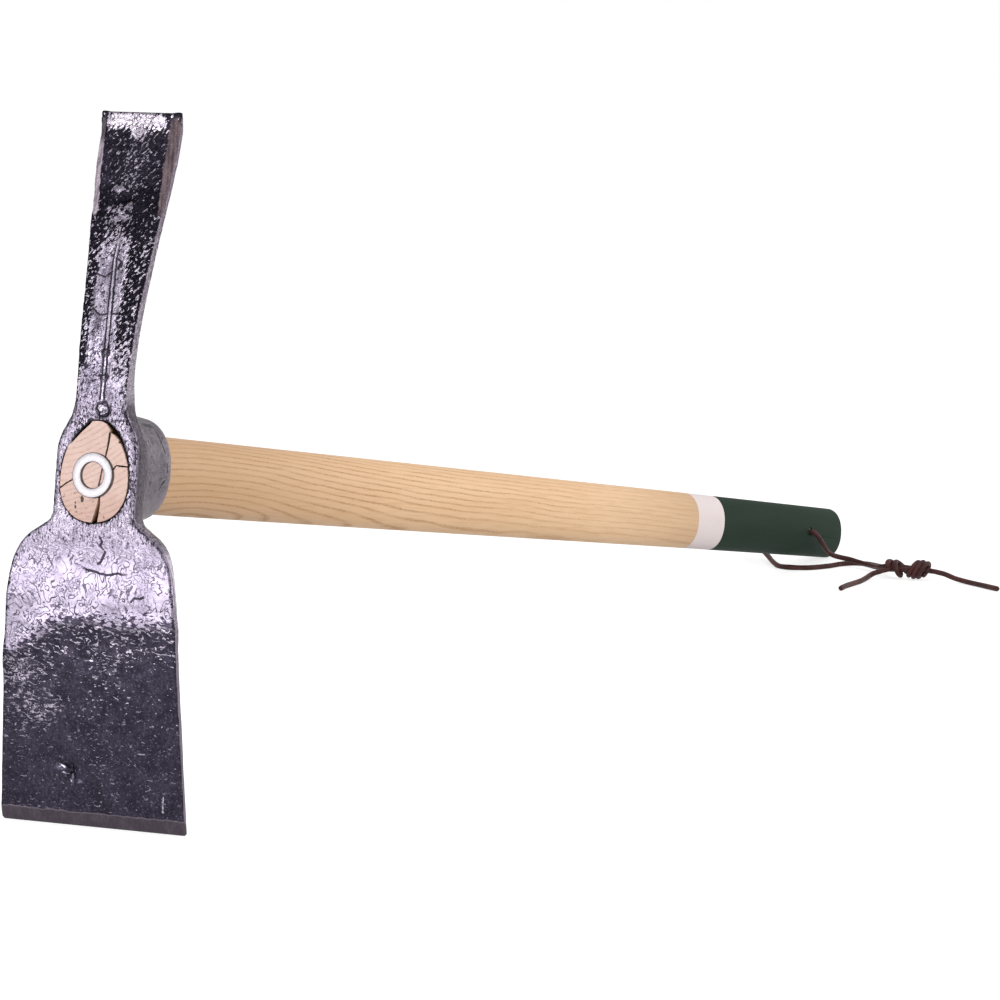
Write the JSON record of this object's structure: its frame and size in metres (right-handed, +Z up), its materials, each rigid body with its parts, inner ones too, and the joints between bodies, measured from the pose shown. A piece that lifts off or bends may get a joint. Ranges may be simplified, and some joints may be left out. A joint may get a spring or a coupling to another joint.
{
  "type": "double hoe",
  "caption": "Forged head with a wide blade below the eye and a narrow one above it, ring-wedged on an oval ash handle with a dipped grip and a knotted leather lace.",
  "frame": {"origin": "on the floor, under the middle of the tool's rigid parts", "axes": "+X from the head towards the grip, +Z up, +Y to the left of somebody who looks along +X; the tool stands on the wide blade's edge and on the grip's end"},
  "size_m": [0.9008, 0.187, 0.3129],
  "materials": {
    "forged_steel": "dark forging scale, ground edges",
    "ash": "bare, sanded ash",
    "bright_steel": "bright zinc",
    "white_dip": "white dipped paint",
    "green_dip": "dark green dipped coat",
    "leather": "brown round lace"
  },
  "bodies": {
    "root": {"hoe_head": "forged_steel", "handle": "ash", "ring_wedge": "bright_steel", "white_band": "white_dip", "grip_coat": "green_dip", "thong_knot": "leather", "thong_near_strand": "leather", "thong_far_strand": "leather", "thong_long_tail": "leather", "thong_short_tail": "leather"}
  },
  "joints": []
}
